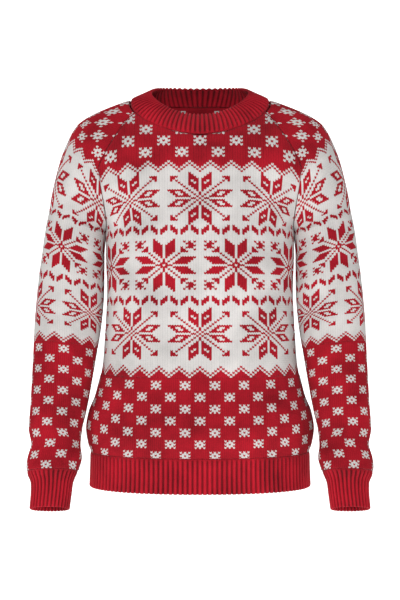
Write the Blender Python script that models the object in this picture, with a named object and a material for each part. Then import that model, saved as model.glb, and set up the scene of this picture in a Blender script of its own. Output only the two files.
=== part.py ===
"""A raglan crew-neck christmas sweater, filled out as if worn, with nobody in it.

Nine knitted pieces: front, back, two sleeves, neckband, two halves of the hem rib and two cuffs.
Every piece is a thin wall. Its outer face comes from rows across the garment: level rows round the
torso, arched rows over the shoulder and rings down the arm. Neighbouring pieces share the points of
their seam, and each one stops half a seam gap short of it.

Frame: origin at the middle of the neck opening, level with the highest point of the shoulders.
+Z is up and the front faces -Y. Tables are in millimetres; the mesh is in metres.
"""

import math

import bmesh
import bpy
import numpy as np

MM = 0.001

# Walls and seams
KNIT_WALL = 2.2
RIB_WALL = 2.8
NECKBAND_WALL = 4.2  # the band is folded double
SEAM_GAP = 0.3
SHARPEST_MITRE = 3.0

# How far a panel row's handles reach, as shares of the distance between its ends: at a seam that it
# leaves across the front, and what is added where it leaves straight forward, as at a side seam
EDGE_HANDLE = 0.32
EDGE_HANDLE_AT_SIDE = 0.07
MIDDLE_HANDLE = 0.40
MIDDLE_HANDLE_AT_SIDE = 0.02
SEMICIRCLE_HANDLE = 4.0 / 3.0

# Number of faces across a piece
HALF_PANEL_FACES = 9
HALF_SLEEVE_FACES = 7
ROW_SAMPLES = 48

TORSO_ROWS = (-556, -538, -520, -500, -470, -430, -385, -340, -295, -250, -207)
HEM_ROWS = (-610, -584, -556)
RAGLAN_ROWS = (0.0, 0.5, 1.0, 2.0, 3.0, 4.0, 5.0)
NECK_ROWS = (0.0, 0.35, 0.6, 0.8, 1.0)
NECKBAND_ROWS = (0.0, 0.35, 0.7, 1.0)

BODY_COLOURS = {"red": (0.50, 0.012, 0.020), "white": (0.80, 0.77, 0.76)}


def table(columns, rows):
    """Named columns of numbers, one row for each section."""
    return dict(zip(columns.split(), np.array(rows, float).T))


# Half width of the torso between the side seams
SIDE = table(
    "height half_width",
    (
        (-610, 176),
        (-584, 175),
        (-556, 174.5),
        (-546, 178),
        (-520, 182),
        (-494, 178),
        (-469, 168),
        (-443, 161),
        (-418, 155),
        (-366, 151),
        (-341, 149.5),
        (-300, 148),
        (-250, 149.5),
        (-207, 150),
    ),
)

# How far the middle of the front and of the back stand from the plane of the side seams
DEPTH = table(
    "height front back",
    (
        (-610, 111, 107),
        (-584, 110, 106),
        (-556, 112, 106),
        (-520, 120, 112),
        (-480, 118, 108),
        (-430, 114, 98),
        (-380, 113, 92),
        (-320, 118, 92),
        (-260, 125, 98),
        (-207, 126, 102),
        (-165, 121, 104),
        (-130, 112, 103),
        (-108, 105, 101),
        (-82, 96, 97),
        (-56, 85, 91),
        (-22, 74, 83),
        (0, 66, 75),
    ),
)

# From the underarm up to the neck: the front raglan seam, the line along the top of the shoulder, the
# back raglan seam, how full the arch between them is, and the angle at which a panel leaves its seam
RAGLAN = table(
    "step front_x front_y front_z top_x top_z back_x back_y back_z fullness front_lead back_lead",
    (
        (0, -150, 0, -207, -240, -172, -150, 0, -207, 1.20, 90, 90),
        (1, -147.5, -32, -194, -237, -153, -147.5, 34, -194, 1.15, 71, 72),
        (2, -150, -57, -167, -230, -121, -151, 60, -167, 1.08, 53, 54),
        (3, -155, -73, -134, -220, -86, -155, 78, -133, 1.03, 38, 37),
        (4, -157, -78, -110, -207, -56, -152, 84, -108, 1.00, 30, 26),
        (5, -147, -76, -84, -195, -37, -140, 84, -81, 1.00, 26, 20),
        (6, -131, -67, -56, -174, -22, -122, 78, -50, 1.00, 24, 17),
        (7, -116, -54, -34, -145, -9, -104, 68, -23, 1.00, 24, 14),
        (8, -103, -42, -18, -110, 4, -88, 56, 0, 1.00, 24, 12),
    ),
)

# Rings down the arm, from the underarm to the cuff's mouth: the outer and the inner point, how far
# forward the ring sits, half its depth, and how far it is pitched forward
ARM = table(
    "ring outer_x outer_z inner_x inner_z forward half_depth pitch",
    (
        (0, -240, -172, -150, -207, 0, 60, 0),
        (1, -246.5, -205, -153.2, -242, -1, 59, 1),
        (2, -251, -238, -153.3, -271, -2, 57, 2),
        (3, -256, -275, -153.5, -300, -4, 55, 4),
        (4, -260, -315, -155.5, -333, -8, 52, 6),
        (5, -262.7, -355, -159.5, -368, -13, 49.5, 8),
        (6, -264, -397, -166, -407, -20, 47, 10),
        (7, -265.4, -440, -172.5, -447, -29, 45, 12),
        (8, -267, -483, -179.5, -487, -39, 43, 13),
        (9, -268.7, -515, -186, -517, -47, 41.5, 14),
        (10, -264.5, -540, -188, -540, -53, 38.5, 15),
        (11, -269.5, -561, -185.6, -559, -58, 40, 15),
        (12, -271, -574, -188.5, -573, -61, 39.5, 15),
        (13, -270, -582, -191.5, -581, -63, 38, 15),
        (14, -267.5, -588.5, -195.5, -588, -65, 35, 16),
        (15, -263, -599, -199.5, -599, -68, 29.5, 17),
        (16, -262.5, -612, -201, -612, -71, 27.5, 17),
        (17, -264, -637, -204, -637, -77, 27, 17),
    ),
)
CUFF_SEAM_RING = 13
CUFF_MOUTH_RING = 17

# The neckline below the band: from the middle of the front, by its two handles, to the raglan seam
NECK_FRONT = table("x y z", ((0, -85, -56), (-42, -85, -56), (-88, -64, -38), (-103, -42, -18)))

# The neckband's upper edge, which is a smaller ring: its reach from the middle of the neck, and the
# heights of its lowest point, at the front, and its highest, at the back
BAND_TOP = {"half_width": 79, "front": 62, "back": 62, "front_z": -25, "back_z": 28}
BAND_DIP = 2.2  # how much of the fall from back to front lies at the front
BAND_STAND = 0.30  # how far the band bows outwards between its edges, as a share of its width


def slopes(keys, values):
    """Slopes of a smooth curve through the values that doesn't overshoot them."""
    rise = np.diff(values) / np.diff(keys)
    product = rise[:-1] * rise[1:]
    total = np.where(product > 0, rise[:-1] + rise[1:], 1.0)
    inner = np.where(product > 0, 2.0 * product / total, 0.0)
    return np.concatenate([rise[:1], inner, rise[-1:]])


def read(columns, key, name, where):
    """The smooth value of one column where the key column has this value."""
    keys, values = columns[key], columns[name]
    slope = slopes(keys, values)
    spot = int(np.clip(np.searchsorted(keys, where) - 1, 0, len(keys) - 2))
    width = keys[spot + 1] - keys[spot]
    s = (where - keys[spot]) / width
    start = (1 + 2 * s) * (1 - s) ** 2 * values[spot] + s * (1 - s) ** 2 * width * slope[spot]
    end = s * s * (3 - 2 * s) * values[spot + 1] - s * s * (1 - s) * width * slope[spot + 1]
    return float(start + end)


def vector(x, y, z):
    return np.array([x, y, z], float)


def bezier(start, first, second, end, samples=ROW_SAMPLES):
    """Points along a cubic curve."""
    s = np.linspace(0.0, 1.0, samples)[:, None]
    return (
        (1 - s) ** 3 * start
        + 3 * s * (1 - s) ** 2 * first
        + 3 * s**2 * (1 - s) * second
        + s**3 * end
    )


def spread(points, faces):
    """Points evenly spaced along a polyline, one more than its faces."""
    steps = np.linalg.norm(np.diff(points, axis=0), axis=1)
    run = np.concatenate([[0.0], np.cumsum(steps)])
    where = np.linspace(0.0, run[-1], faces + 1)
    return np.stack([np.interp(where, run, points[:, axis]) for axis in range(3)], axis=1)


def panel_row(edge, lead, middle, turn, facing):
    """A panel's row from its seam to its middle. It leaves the seam at an angle to +X, towards the
    side that the panel faces, and arrives at another."""
    reach = np.linalg.norm(middle - edge)
    sideness = (lead / 90) ** 4
    leave = vector(math.cos(math.radians(lead)), facing * math.sin(math.radians(lead)), 0)
    arrive = vector(math.cos(math.radians(turn)), facing * math.sin(math.radians(turn)), 0)
    first = edge + (EDGE_HANDLE + EDGE_HANDLE_AT_SIDE * sideness) * reach * leave
    second = middle - (MIDDLE_HANDLE + MIDDLE_HANDLE_AT_SIDE * sideness) * reach * arrive
    return bezier(edge, first, second, middle)


def torso_row(height, facing):
    """Half a level row below the underarm, from the left side seam to the middle."""
    depth = read(DEPTH, "height", "front" if facing < 0 else "back", height)
    side = vector(-read(SIDE, "height", "half_width", height), 0, height)
    return panel_row(side, 90, vector(0, facing * depth, height), 0, facing)


def raglan_point(line, step):
    """A point of the front or back raglan seam, or of the shoulder line."""
    across = 0.0 if line == "top" else read(RAGLAN, "step", line + "_y", step)
    return vector(
        read(RAGLAN, "step", line + "_x", step), across, read(RAGLAN, "step", line + "_z", step)
    )


def neck_point(share):
    """A point of the front neckline, from its middle (0) to the raglan seam (1)."""
    corners = np.stack([NECK_FRONT["x"], NECK_FRONT["y"], NECK_FRONT["z"]], axis=1)
    weights = [(1 - share) ** 3, 3 * share * (1 - share) ** 2, 3 * share**2 * (1 - share), share**3]
    return np.array(weights) @ corners


def step_at(height):
    """The raglan step at which the front seam passes this height."""
    low, high = RAGLAN["step"][[0, -1]]
    for _ in range(40):
        middle = (low + high) / 2
        if read(RAGLAN, "step", "front_z", middle) < height:
            low = middle
        else:
            high = middle
    return (low + high) / 2


def front_yoke_row(step, neck_share=None):
    """Half a row of the front above the underarm, up to its middle or to the neckline."""
    edge = raglan_point("front", step)
    lead = read(RAGLAN, "step", "front_lead", step)
    if neck_share is None:
        depth = read(DEPTH, "height", "front", edge[2])
        return panel_row(edge, lead, vector(0, -depth, edge[2]), 0, -1)
    return panel_row(edge, lead, neck_point(neck_share), lead * neck_share, -1)


def back_yoke_row(step):
    """Half a row of the back above the underarm."""
    edge = raglan_point("back", step)
    depth = read(DEPTH, "height", "back", edge[2])
    middle = vector(0, depth, edge[2])
    return panel_row(edge, read(RAGLAN, "step", "back_lead", step), middle, 0, 1)


def arch(step):
    """A row of the sleeve above the underarm, from the front seam over the shoulder to the back seam.
    Each half turns as a circle through the two seams and the shoulder line would."""
    front, top, back = (raglan_point(line, step) for line in ("front", "top", "back"))
    fullness = read(RAGLAN, "step", "fullness", step)
    middle = (front + back) / 2
    rise = np.linalg.norm(top - middle)
    half_span = np.linalg.norm(back - front) / 2
    upwards = (top - middle) / rise
    turn = 2 * math.atan2(rise, half_span)
    radius = (half_span**2 + rise**2) / (2 * rise)
    handle = fullness * SEMICIRCLE_HANDLE * math.tan(turn / 4) * radius
    halves = []
    for seam, facing in ((front, -1), (back, 1)):
        leave = vector(0, -facing * math.cos(turn), 0) + math.sin(turn) * upwards
        outwards = vector(0, facing, 0)
        halves.append(bezier(seam, seam + handle * leave, top + handle * outwards, top))
    return halves


def arm_ring(ring):
    """A ring of the arm: its front half from the inner to the outer point, and its back half."""
    names = ("outer_x", "outer_z", "inner_x", "inner_z", "forward", "half_depth", "pitch")
    outer_x, outer_z, inner_x, inner_z, forward, half_depth, pitch = (
        read(ARM, "ring", name, ring) for name in names
    )
    outer = vector(outer_x, forward, outer_z)
    inner = vector(inner_x, forward, inner_z)
    ahead = vector(0, -math.cos(math.radians(pitch)), math.sin(math.radians(pitch)))
    handle = SEMICIRCLE_HANDLE * half_depth * ahead
    return [bezier(inner, inner + way * handle, outer + way * handle, outer) for way in (1, -1)]


def sleeve_row(halves):
    """One row of sleeve points, from the front seam or the inner point right round."""
    front, back = (spread(half, HALF_SLEEVE_FACES) for half in halves)
    return np.concatenate([front, back[::-1][1:]])


def mirrored(points):
    return points * vector(-1, 1, 1)


def neck_ring():
    """The whole neckline, anticlockwise from the middle of the front, and where each point is."""
    front = [neck_point(share) for share in NECK_ROWS]
    shoulder = sleeve_row(arch(RAGLAN["step"][-1]))
    back = spread(back_yoke_row(RAGLAN["step"][-1]), HALF_PANEL_FACES)
    half = np.concatenate([front, shoulder[1:], back[1:]])
    return np.concatenate([half, mirrored(half[::-1][1:-1])])


def band_top_point(angle, side):
    """A point of the neckband's upper edge, by the angle round the neck from the front."""
    forward = BAND_TOP["front" if math.cos(angle) > 0 else "back"] * math.cos(angle)
    fall = BAND_TOP["back_z"] - BAND_TOP["front_z"]
    height = BAND_TOP["back_z"] - fall * ((1 + math.cos(angle)) / 2) ** BAND_DIP
    return vector(side * BAND_TOP["half_width"] * math.sin(angle), -forward, height)


def band_row(share):
    """A row of the neckband, from the neckline (0) to its upper edge (1)."""
    low = neck_ring()
    outwards = low[:, :2] - low[:, :2].mean(axis=0)
    outwards /= np.linalg.norm(outwards, axis=1)[:, None]
    angles = np.arctan2(np.abs(outwards[:, 0]), -outwards[:, 1])
    top = np.array([band_top_point(a, np.sign(x)) for a, x in zip(angles, outwards[:, 0])])
    bow = BAND_STAND * share * (1 - share) * np.linalg.norm(top - low, axis=1)
    lean = np.column_stack([outwards, np.ones(len(low))]) / math.sqrt(2)
    return low + share * (top - low) + bow[:, None] * lean


class Panel:
    """The outer face of one knitted piece: joined points and the faces between them."""

    def __init__(self, name, wall):
        self.name, self.wall = name, wall
        self.points, self.faces, self.index = [], [], {}

    def point(self, place):
        key = tuple(np.round(place, 4) + 0.0)
        if key not in self.index:
            self.index[key] = len(self.points)
            self.points.append(np.array(place, float))
        return self.index[key]

    def add_rows(self, rows, flip=False):
        """Adds the faces between rows of equally many points."""
        for low, high in zip(rows[:-1], rows[1:]):
            for i in range(len(low) - 1):
                ends = [self.point(p) for p in (low[i], low[i + 1], high[i + 1], high[i])]
                face = [v for k, v in enumerate(ends) if v != ends[k - 1]]
                if len(face) > 2:
                    self.faces.append(face[::-1] if flip else face)

    def add_mirrored_rows(self, rows, flip=False):
        """Adds the rows and their mirror images."""
        self.add_rows(rows, flip)
        self.add_rows([mirrored(row) for row in rows], not flip)


def front_panel():
    panel = Panel("front", KNIT_WALL)
    rows = [torso_row(height, -1) for height in TORSO_ROWS]
    rows += [front_yoke_row(step) for step in RAGLAN_ROWS[1:]]
    rows += [front_yoke_row(step_at(neck_point(share)[2]), share) for share in NECK_ROWS]
    panel.add_mirrored_rows([spread(row, HALF_PANEL_FACES) for row in rows])
    return panel


def back_panel():
    panel = Panel("back", KNIT_WALL)
    rows = [torso_row(height, 1) for height in TORSO_ROWS]
    rows += [back_yoke_row(step) for step in yoke_steps()[1:]]
    panel.add_mirrored_rows([spread(row, HALF_PANEL_FACES) for row in rows], flip=True)
    return panel


def hem_panel(name, facing):
    panel = Panel(name, RIB_WALL)
    rows = [spread(torso_row(height, facing), HALF_PANEL_FACES) for height in HEM_ROWS]
    panel.add_mirrored_rows(rows, flip=facing > 0)
    return panel


def yoke_steps():
    """The raglan steps of all rows above the underarm, which front, sleeve and back share."""
    neck = [step_at(neck_point(share)[2]) for share in NECK_ROWS[:-1]]
    return [*RAGLAN_ROWS, *neck, RAGLAN["step"][-1]]


def sleeve_panel(name, first_ring, last_ring, wall, left, arches=False):
    """A run of rings down one arm, with the arches over the shoulder where it is a sleeve."""
    panel = Panel(name, wall)
    rings = [k for k in ARM["ring"] if first_ring <= k <= last_ring]
    rows = [sleeve_row(arm_ring(ring)) for ring in reversed(rings)]
    if arches:
        rows += [sleeve_row(arch(step)) for step in yoke_steps()[1:]]
    if not left:
        rows = [mirrored(row) for row in rows]
    panel.add_rows(rows, flip=left)
    return panel


def neckband_panel():
    panel = Panel("neckband", NECKBAND_WALL)
    rows = [band_row(share) for share in NECKBAND_ROWS]
    panel.add_rows([np.concatenate([row, row[:1]]) for row in rows], flip=True)
    return panel


def face_normal(corners):
    centre = corners.mean(axis=0)
    return sum(
        np.cross(a - centre, b - centre) for a, b in zip(corners, np.roll(corners, -1, axis=0))
    )


def shared_normals(panels):
    """Adds up the normals round each place, over all the pieces that meet there."""
    total = {}
    for panel in panels:
        for face in panel.faces:
            corners = np.array([panel.points[v] for v in face])
            normal = face_normal(corners)
            normal /= max(np.linalg.norm(normal), 1e-9)
            for k, place in enumerate(corners):
                ahead = corners[(k + 1) % len(corners)] - place
                behind = corners[k - 1] - place
                cosine = ahead @ behind / (np.linalg.norm(ahead) * np.linalg.norm(behind))
                key = tuple(np.round(place, 4) + 0.0)
                total[key] = total.get(key, 0) + math.acos(np.clip(cosine, -1, 1)) * normal
    return {key: value / np.linalg.norm(value) for key, value in total.items()}


def rim_edges(panel):
    """Directed edges that only one face has, each with that face."""
    edges = {(a, b): face for face in panel.faces for a, b in zip(face, face[1:] + face[:1])}
    return {edge: face for edge, face in edges.items() if edge[::-1] not in edges}


def pulled_back(panel, rim):
    """The outer points, those on the rim moved into the piece by half the seam gap."""
    points = [place.copy() for place in panel.points]
    inwards = {}
    for (a, b), face in rim.items():
        normal = face_normal(np.array([panel.points[v] for v in face]))
        side = np.cross(normal, panel.points[b] - panel.points[a])
        for v in (a, b):
            inwards.setdefault(v, []).append(side / np.linalg.norm(side))
    for v, (one, other) in inwards.items():
        mitre = (one + other) / max(1 + one @ other, 1 / SHARPEST_MITRE)
        points[v] += SEAM_GAP / 2 * mitre
    return points


def build(panel, total, material):
    """Gives the piece its wall and adds it to the scene as a closed mesh."""
    keys = [tuple(np.round(place, 4) + 0.0) for place in panel.points]
    normals = [total[key] for key in keys]
    rim = rim_edges(panel)
    outer = pulled_back(panel, rim)
    inner = [place - panel.wall * normal for place, normal in zip(outer, normals)]
    count = len(outer)
    solid = bmesh.new()
    verts = [solid.verts.new(place * MM) for place in outer + inner]
    for face in panel.faces:
        solid.faces.new([verts[v] for v in face])
        solid.faces.new([verts[v + count] for v in reversed(face)])
    for a, b in rim:
        solid.faces.new([verts[v] for v in (b, a, a + count, b + count)])
    bmesh.ops.triangulate(solid, faces=solid.faces[:])
    mesh = bpy.data.meshes.new(panel.name)
    solid.to_mesh(mesh)
    solid.free()
    mesh.shade_smooth()
    mesh.set_sharp_from_angle(angle=math.radians(50))
    mesh.materials.append(material)
    piece = bpy.data.objects.new(panel.name, mesh)
    bpy.context.scene.collection.objects.link(piece)
    return piece


def yarn(name, colour):
    material = bpy.data.materials.new(name)
    material.use_nodes = True
    shader = material.node_tree.nodes["Principled BSDF"]
    shader.inputs["Base Color"].default_value = (*colour, 1.0)
    shader.inputs["Roughness"].default_value = 0.9
    shader.inputs["Metallic"].default_value = 0.0
    return material


def main():
    for stale in list(bpy.data.objects):
        bpy.data.objects.remove(stale, do_unlink=True)
    panels = [front_panel(), back_panel(), neckband_panel()]
    panels += [hem_panel("hem_rib_front", -1), hem_panel("hem_rib_back", 1)]
    for side, left in (("left", True), ("right", False)):
        panels.append(
            sleeve_panel("sleeve_" + side, 0, CUFF_SEAM_RING, KNIT_WALL, left, arches=True)
        )
        panels.append(
            sleeve_panel("cuff_" + side, CUFF_SEAM_RING, CUFF_MOUTH_RING, RIB_WALL, left)
        )
    total = shared_normals(panels)
    patterned = ("front", "back", "sleeve_left", "sleeve_right")
    for panel in panels:
        colour = BODY_COLOURS["white" if panel.name in patterned else "red"]
        build(panel, total, yarn(panel.name + "_yarn", colour))


main()
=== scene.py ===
"""Looks of a raglan christmas sweater: knitted panels stitch by stitch, rib bands and a pale studio.

The knitted pieces follow the same rows as the CAD solids that they replace. A patterned piece is a
grid of V stitches, and its colours come from charts drawn below, one character for each stitch.
Tables are in millimetres and the meshes are in metres. +Z is up and the front faces -Y.
"""

import math

import bpy
import numpy as np
from bpy.props import FloatProperty, FloatVectorProperty, PointerProperty
from bpy.types import Operator, Panel, PropertyGroup
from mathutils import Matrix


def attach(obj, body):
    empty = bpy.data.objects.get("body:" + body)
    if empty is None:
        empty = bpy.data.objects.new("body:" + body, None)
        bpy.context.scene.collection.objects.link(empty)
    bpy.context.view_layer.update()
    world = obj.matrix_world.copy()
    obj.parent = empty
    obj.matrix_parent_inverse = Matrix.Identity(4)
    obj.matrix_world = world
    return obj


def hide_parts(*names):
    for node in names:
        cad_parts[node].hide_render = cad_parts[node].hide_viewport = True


bl_info = {
    "name": "Christmas Sweater",
    "version": (1, 0, 0),
    "blender": (4, 5, 0),
    "location": "View3D > Sidebar > Sweater",
    "description": "Builds the knitted pieces of a christmas sweater and a studio round it",
    "category": "Add Mesh",
}

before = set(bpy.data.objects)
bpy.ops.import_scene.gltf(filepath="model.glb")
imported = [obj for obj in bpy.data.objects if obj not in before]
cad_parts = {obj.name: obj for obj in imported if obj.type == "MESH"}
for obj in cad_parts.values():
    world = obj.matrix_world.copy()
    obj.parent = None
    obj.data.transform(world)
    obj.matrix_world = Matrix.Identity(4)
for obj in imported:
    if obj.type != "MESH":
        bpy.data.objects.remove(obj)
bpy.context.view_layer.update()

MM = 0.001

# ---------------------------------------------------------------- shape of the garment

# How far a panel row's handles reach, as shares of the distance between its ends
EDGE_HANDLE = 0.32
EDGE_HANDLE_AT_SIDE = 0.07
MIDDLE_HANDLE = 0.40
MIDDLE_HANDLE_AT_SIDE = 0.02
SEMICIRCLE_HANDLE = 4.0 / 3.0
ROW_SAMPLES = 72
HALF_SEAM_GAP = 0.15
HEM_EDGE = -610.0
HEM_SEAM = -556.0
NECK_CENTRE = 14.3  # how far back the middle of the neckline lies
UNDERARM = -207.0
NECK_DIP = -56.0


def table(columns, rows):
    """Named columns of numbers, one row for each section."""
    return dict(zip(columns.split(), np.array(rows, float).T))


SIDE = table(
    "height half_width",
    (
        (-610, 176),
        (-584, 175),
        (-556, 174.5),
        (-546, 178),
        (-520, 182),
        (-494, 178),
        (-469, 168),
        (-443, 161),
        (-418, 155),
        (-366, 151),
        (-341, 149.5),
        (-300, 148),
        (-250, 149.5),
        (-207, 150),
    ),
)
DEPTH = table(
    "height front back",
    (
        (-610, 111, 107),
        (-584, 110, 106),
        (-556, 112, 106),
        (-520, 120, 112),
        (-480, 118, 108),
        (-430, 114, 98),
        (-380, 113, 92),
        (-320, 118, 92),
        (-260, 125, 98),
        (-207, 126, 102),
        (-165, 121, 104),
        (-130, 112, 103),
        (-108, 105, 101),
        (-82, 96, 97),
        (-56, 85, 91),
        (-22, 74, 83),
        (0, 66, 75),
    ),
)
RAGLAN = table(
    "step front_x front_y front_z top_x top_z back_x back_y back_z fullness front_lead back_lead",
    (
        (0, -150, 0, -207, -240, -172, -150, 0, -207, 1.20, 90, 90),
        (1, -147.5, -32, -194, -237, -153, -147.5, 34, -194, 1.15, 71, 72),
        (2, -150, -57, -167, -230, -121, -151, 60, -167, 1.08, 53, 54),
        (3, -155, -73, -134, -220, -86, -155, 78, -133, 1.03, 38, 37),
        (4, -157, -78, -110, -207, -56, -152, 84, -108, 1.00, 30, 26),
        (5, -147, -76, -84, -195, -37, -140, 84, -81, 1.00, 26, 20),
        (6, -131, -67, -56, -174, -22, -122, 78, -50, 1.00, 24, 17),
        (7, -116, -54, -34, -145, -9, -104, 68, -23, 1.00, 24, 14),
        (8, -103, -42, -18, -110, 4, -88, 56, 0, 1.00, 24, 12),
    ),
)
ARM = table(
    "ring outer_x outer_z inner_x inner_z forward half_depth pitch",
    (
        (0, -240, -172, -150, -207, 0, 60, 0),
        (1, -246.5, -205, -153.2, -242, -1, 59, 1),
        (2, -251, -238, -153.3, -271, -2, 57, 2),
        (3, -256, -275, -153.5, -300, -4, 55, 4),
        (4, -260, -315, -155.5, -333, -8, 52, 6),
        (5, -262.7, -355, -159.5, -368, -13, 49.5, 8),
        (6, -264, -397, -166, -407, -20, 47, 10),
        (7, -265.4, -440, -172.5, -447, -29, 45, 12),
        (8, -267, -483, -179.5, -487, -39, 43, 13),
        (9, -268.7, -515, -186, -517, -47, 41.5, 14),
        (10, -264.5, -540, -188, -540, -53, 38.5, 15),
        (11, -269.5, -561, -185.6, -559, -58, 40, 15),
        (12, -271, -574, -188.5, -573, -61, 39.5, 15),
        (13, -270, -582, -191.5, -581, -63, 38, 15),
        (14, -267.5, -588.5, -195.5, -588, -65, 35, 16),
        (15, -263, -599, -199.5, -599, -68, 29.5, 17),
        (16, -262.5, -612, -201, -612, -71, 27.5, 17),
        (17, -264, -637, -204, -637, -77, 27, 17),
    ),
)
CUFF_SEAM_RING = 13
CUFF_MOUTH_RING = 17
NECK_STEP = 8
NECK_FRONT = np.array(((0, -85, -56), (-42, -85, -56), (-88, -64, -38), (-103, -42, -18)), float)
BAND_TOP = {"half_width": 79, "front": 62, "back": 62, "front_z": -25, "back_z": 28}
BAND_DIP = 2.2
BAND_STAND = 0.30

# ---------------------------------------------------------------- charts

# Each row of characters is one row of stitches, top row first. A quadrant starts at its bottom left
# with the middle stitch of the star, and # is a red stitch on a white ground.
OPEN_STAR = (
    "....#........",
    "...##........",
    "..###....###.",
    ".####.....##.",
    ".##.#....#.#.",
    ".#.##...#....",
    ".####..#.....",
    ".###..#......",
    ".##..#.......",
    ".#..#..######",
    "#..#..##..##.",
    "#.#..##..##..",
    ".#..######...",
    "#.##.........",
)
FULL_STAR = (
    "....#.........",
    "...##...#.#.#.",
    "..###....###..",
    ".####.....###.",
    ".####..#.###..",
    ".####..##...#.",
    ".####..###....",
    ".###..#.......",
    ".##..#........",
    ".#..#..######.",
    "#..#..######..",
    "#.#..######...",
    "##..######....",
    ".###..........",
)
# A small snowflake, white on red
FLAKE = (
    "#.#.#",
    ".###.",
    "##.##",
    ".###.",
    "#.#.#",
)
# Eight columns of the slanting dashes between the rows of stars, red on white, from the gap between
# the feet of two dashes
DASHES = (
    "...#.#..",
    "..##.##.",
    ".###.###",
    ".##...##",
    ".#.....#",
)

STAR_REPEAT = 28
UPPER_STARS = 34
LOWER_STARS = -35
DASH_ROWS = (16, -20)  # the lowest row of each dash band
ZIGZAG_REPEAT = 8
TOP_BORDER = 49  # white dots rise from here to four rows higher
BOTTOM_BORDER = -52
STAR_FIELD_EDGE = -57.5  # the star knit's lowest edge, in rows; a finer knit follows below it
FIRST_FINE_FLAKE = -5  # the middle row of the flakes nearest that edge
FINE_FLAKE_ROWS = 12
SLEEVE_STAR_COLUMN = 33  # how many stitches in front of the sleeve's top its stars are centred
SLEEVE_FLAKE_COLUMN = 24


def chart_array(chart):
    """A chart as numbers: rows from the bottom up, 1 for #."""
    return np.array([[mark == "#" for mark in row] for row in chart[::-1]], int)


STARS = {"open": chart_array(OPEN_STAR), "full": chart_array(FULL_STAR)}
SNOW = chart_array(FLAKE)
DASH_CHART = chart_array(DASHES)


def looked_up(chart, row, column):
    """The chart's mark at each row and column, and 0 outside it."""
    inside = (row >= 0) & (row < chart.shape[0]) & (column >= 0) & (column < chart.shape[1])
    found = chart[np.clip(row, 0, chart.shape[0] - 1), np.clip(column, 0, chart.shape[1] - 1)]
    return np.where(inside, found, 0)


def nearest(value, repeat, offset=0):
    """How far each value is from the nearest offset + repeat * n."""
    return (value - offset + repeat // 2) % repeat - repeat // 2


def star_marks(kind, column, row, middle_row, middle_column):
    across = np.abs(nearest(column, STAR_REPEAT, middle_column))
    return looked_up(STARS[kind], np.abs(row - middle_row), across)


def flake_marks(column, row, middle_row, repeat, offset):
    across = nearest(column, repeat, offset)
    return looked_up(SNOW, row - middle_row + 2, across + 2)


def zigzag(column):
    """0 at a column's nearest peak and 4 between two peaks."""
    return np.abs(nearest(column, ZIGZAG_REPEAT))


def stars_and_borders(column, row):
    """1 where a stitch is white, in the field between the two borders; -1 outside the field."""
    red = star_marks("full", column, row, 0, STAR_REPEAT // 2)
    red |= star_marks("open", column, row, UPPER_STARS, 0)
    red |= star_marks("open", column, row, LOWER_STARS, 0)
    for low in DASH_ROWS:
        red |= looked_up(DASH_CHART, row - low, column % ZIGZAG_REPEAT)
    top = TOP_BORDER + zigzag(column)
    bottom = BOTTOM_BORDER - zigzag(column)
    white = np.where(red == 1, 0, 1)
    white = np.where((row == top - 1) | (row == bottom), 0, white)
    white = np.where((row == top) | (row == bottom - 1), 1, white)
    return np.where((row > top) | (row < bottom - 1), -1, white)


def scattered_flakes(column, row, lowest, highest, repeat, offset):
    """Snowflakes every six rows from lowest to highest, half a repeat aside in every other row."""
    marks = np.zeros(column.shape, int)
    for n, middle in enumerate(range(lowest, highest + 1, 6)):
        marks |= flake_marks(column, row, middle, repeat, offset + (n % 2) * repeat // 2)
    return marks


def yoke_flakes(column, row, repeat, offset):
    return scattered_flakes(column, row, 58, 88, repeat, offset)


def body_chart(column, row):
    """1 for a white stitch of the front or the back, by column from the middle and by row."""
    field = stars_and_borders(column, row)
    return np.where(field >= 0, field, yoke_flakes(column, row, 14, 7))


def sleeve_chart(column, row):
    """1 for a white stitch of a sleeve, by column in front of the line along its top and by row."""
    field = stars_and_borders(column - SLEEVE_STAR_COLUMN, row)
    return np.where(field >= 0, field, yoke_flakes(column, row, 12, 5))


def fine_flakes(column, row):
    """Snowflakes of the finer knit below the stars, by row counted down from its upper edge."""
    marks = np.zeros(column.shape, int)
    for n in range(FINE_FLAKE_ROWS):
        marks |= flake_marks(column, row, FIRST_FINE_FLAKE - 7 * n, 14, 7 * (n % 2))
    return marks


def body_flakes(column, row):
    return fine_flakes(column - 7, row)


def sleeve_flakes(column, row):
    return fine_flakes(column - SLEEVE_FLAKE_COLUMN, row)


# Where the chart's rows lie on a sleeve: on the steps of the raglan, counted down to 0 at the
# underarm, and then on the rings of the arm
SLEEVE_ROWS = table(
    "row place",
    (
        (-129.6, 13),
        (-126.6, 12),
        (-121.6, 11),
        (-114.2, 10),
        (-105.3, 9),
        (-93.8, 8),
        (-78.4, 7),
        (-63.1, 6),
        (-54, 5.4),
        (-35, 4.25),
        (-17.5, 2.91),
        (0, 1.43),
        (17.5, -0.03),
        (34, -2),
        (50, -3.8),
        (58, -4.7),
        (64, -5.4),
        (70, -6.15),
        (76, -7),
        (83, -8),
    ),
)
STAR_ROW_HEIGHT = -259.0  # the level of chart row 0 on the body


# ---------------------------------------------------------------- rows of the surface


def slopes(keys, values):
    """Slopes of a smooth curve through the values that doesn't overshoot them."""
    rise = np.diff(values) / np.diff(keys)
    product = rise[:-1] * rise[1:]
    total = np.where(product > 0, rise[:-1] + rise[1:], 1.0)
    inner = np.where(product > 0, 2.0 * product / total, 0.0)
    return np.concatenate([rise[:1], inner, rise[-1:]])


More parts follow.
